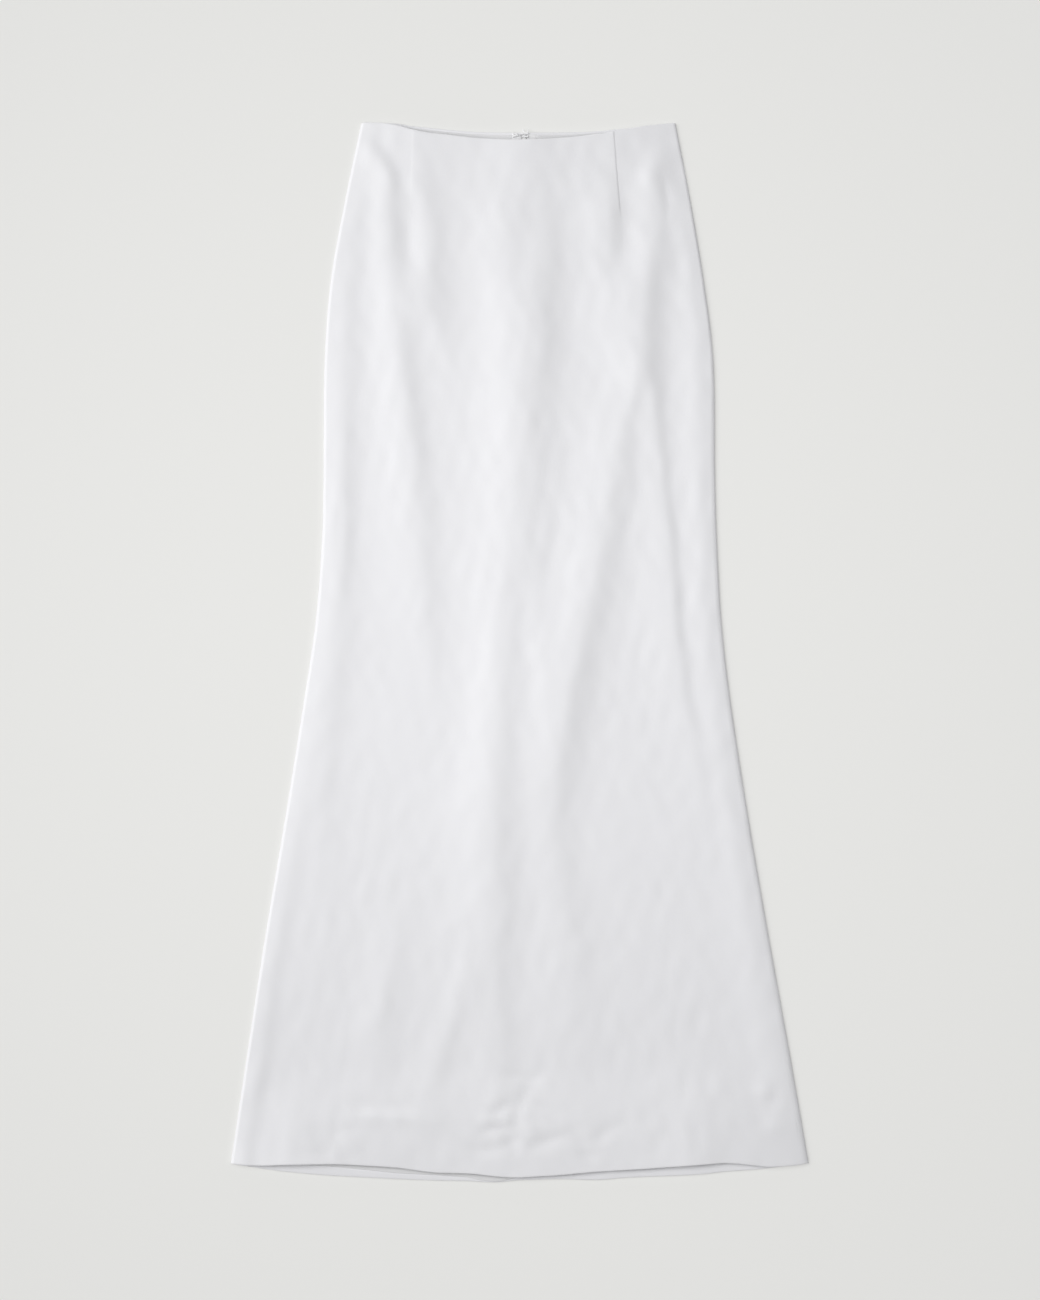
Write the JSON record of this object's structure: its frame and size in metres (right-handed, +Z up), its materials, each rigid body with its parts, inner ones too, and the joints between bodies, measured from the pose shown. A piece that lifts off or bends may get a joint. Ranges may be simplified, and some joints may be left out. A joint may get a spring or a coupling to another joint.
{
  "type": "mermaid fishtail skirt",
  "caption": "Floor-length fishtail skirt in heavy satin, laid flat: fitted from waist to thigh, flared to a wavy hem, with waist darts, an inner facing and a zip down the centre back.",
  "frame": {"origin": "on the surface under the skirt, at the middle of the laid-out skirt's bounding box", "axes": "+X to the right as the skirt's front is seen (the wearer's left), +Y up the skirt to the waist, +Z up from the surface, out of the front"},
  "size_m": [0.646, 1.184, 0.0101],
  "materials": {
    "satin": "heavy satin, right side: soft broad sheen, cool white",
    "satin_wrong_side": "the same cloth's dull side, on the waist and hem facings",
    "zip_tape": "plain woven polyester tape",
    "zip_coil": "white nylon coil",
    "zip_metal": "white gloss enamel",
    "hook_steel": "fine bent wire"
  },
  "bodies": {
    "skirt": {"front_panel": "satin", "front_waist_facing": "satin_wrong_side", "front_hem_facing": "satin_wrong_side", "back_panel_right": "satin", "back_panel_left": "satin", "back_waist_facing_right": "satin_wrong_side", "back_waist_facing_left": "satin_wrong_side", "back_hem_facing_right": "satin_wrong_side", "back_hem_facing_left": "satin_wrong_side", "zip_tape_right": "zip_tape", "zip_tape_left": "zip_tape", "zip_chain": "zip_coil", "zip_bottom_stop": "zip_metal", "zip_slider": "zip_metal", "waist_hook": "hook_steel", "waist_eye": "hook_steel"},
    "zip_pull": {"zip_pull_tab": "zip_metal"}
  },
  "joints": [
    {"name": "zip_pull_hinge", "type": "hinge", "parent": "skirt", "child": "zip_pull", "pos_m": [0.005, 0.57048, 0.0018], "axis": [1, 0, 0], "range_deg": [0, 165]}
  ]
}
